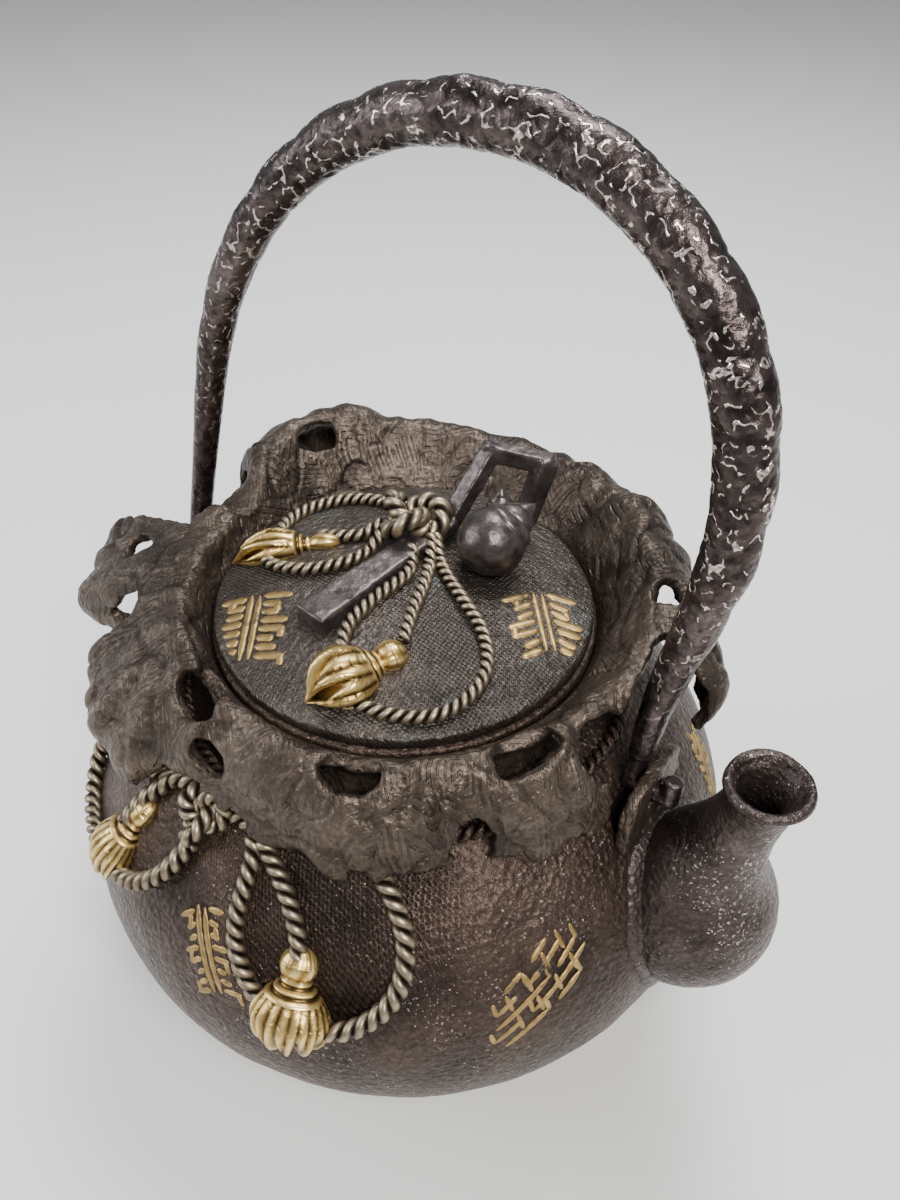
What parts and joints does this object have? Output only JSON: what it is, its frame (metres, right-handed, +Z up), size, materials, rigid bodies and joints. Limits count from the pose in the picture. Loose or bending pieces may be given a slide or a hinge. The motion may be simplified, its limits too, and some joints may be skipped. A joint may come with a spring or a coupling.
{
  "type": "cast iron kettle",
  "caption": "Round cast kettle in the form of a tied sack, with a pierced frill round a lift-off lid, a short bulbous spout, cord and tassel relief, and a swinging bail handle.",
  "frame": {"origin": "on the surface that the kettle stands on, under the centre of its flat base", "axes": "+Z up, +X towards the spout; the handle's hinge line lies along X"},
  "size_m": [0.1817, 0.16, 0.2222],
  "materials": {
    "body_iron": "grainy dark brown cast iron",
    "spout_iron": "grainy brown cast iron",
    "frill_iron": "warm brown cast iron with an engraved cloth pattern",
    "lid_iron": "grey-brown cast iron with a dimpled weave",
    "key_iron": "smooth dark iron",
    "handle_iron": "gnarled and pitted dark iron",
    "cord_metal": "worn pale gilt over dark metal",
    "tassel_gilt": "worn yellow gilt",
    "inlay_gold": "rubbed gold inlay",
    "rivet_brass": "dull brass"
  },
  "bodies": {
    "kettle": {"kettle_body": "body_iron", "spout": "spout_iron", "sack_frill": "frill_iron", "lug_front": "frill_iron", "lug_rear": "frill_iron", "neck_cord": "body_iron", "body_knot": "cord_metal", "body_cord_left_loop": "cord_metal", "body_cord_center_loop": "cord_metal", "body_cord_right_loop": "cord_metal", "body_tassel_left": "tassel_gilt", "body_tassel_front": "tassel_gilt", "body_inlay_left": "inlay_gold", "body_inlay_front": "inlay_gold", "body_inlay_right": "inlay_gold"},
    "lid": {"lid_plate": "lid_iron", "lid_key": "key_iron", "lid_jewel_large": "key_iron", "lid_jewel_small": "key_iron", "lid_rivets": "rivet_brass", "lid_washers": "rivet_brass", "lid_knot": "cord_metal", "lid_cord_left_loop": "cord_metal", "lid_cord_center_loop": "cord_metal", "lid_cord_right_loop": "cord_metal", "lid_tassel_left": "tassel_gilt", "lid_tassel_front": "tassel_gilt", "lid_inlay_left": "inlay_gold", "lid_inlay_right": "inlay_gold"},
    "handle": {"handle_bail": "handle_iron", "handle_hook_front": "handle_iron", "handle_hook_rear": "handle_iron"}
  },
  "joints": [
    {"name": "lid_lift", "type": "slide", "parent": "kettle", "child": "lid", "axis": [0, 0, 1], "range_m": [0, 0.05]},
    {"name": "handle_swing", "type": "hinge", "parent": "kettle", "child": "handle", "pos_m": [0, 0, 0.0965], "axis": [1, 0, 0], "range_deg": [0, 24]}
  ]
}
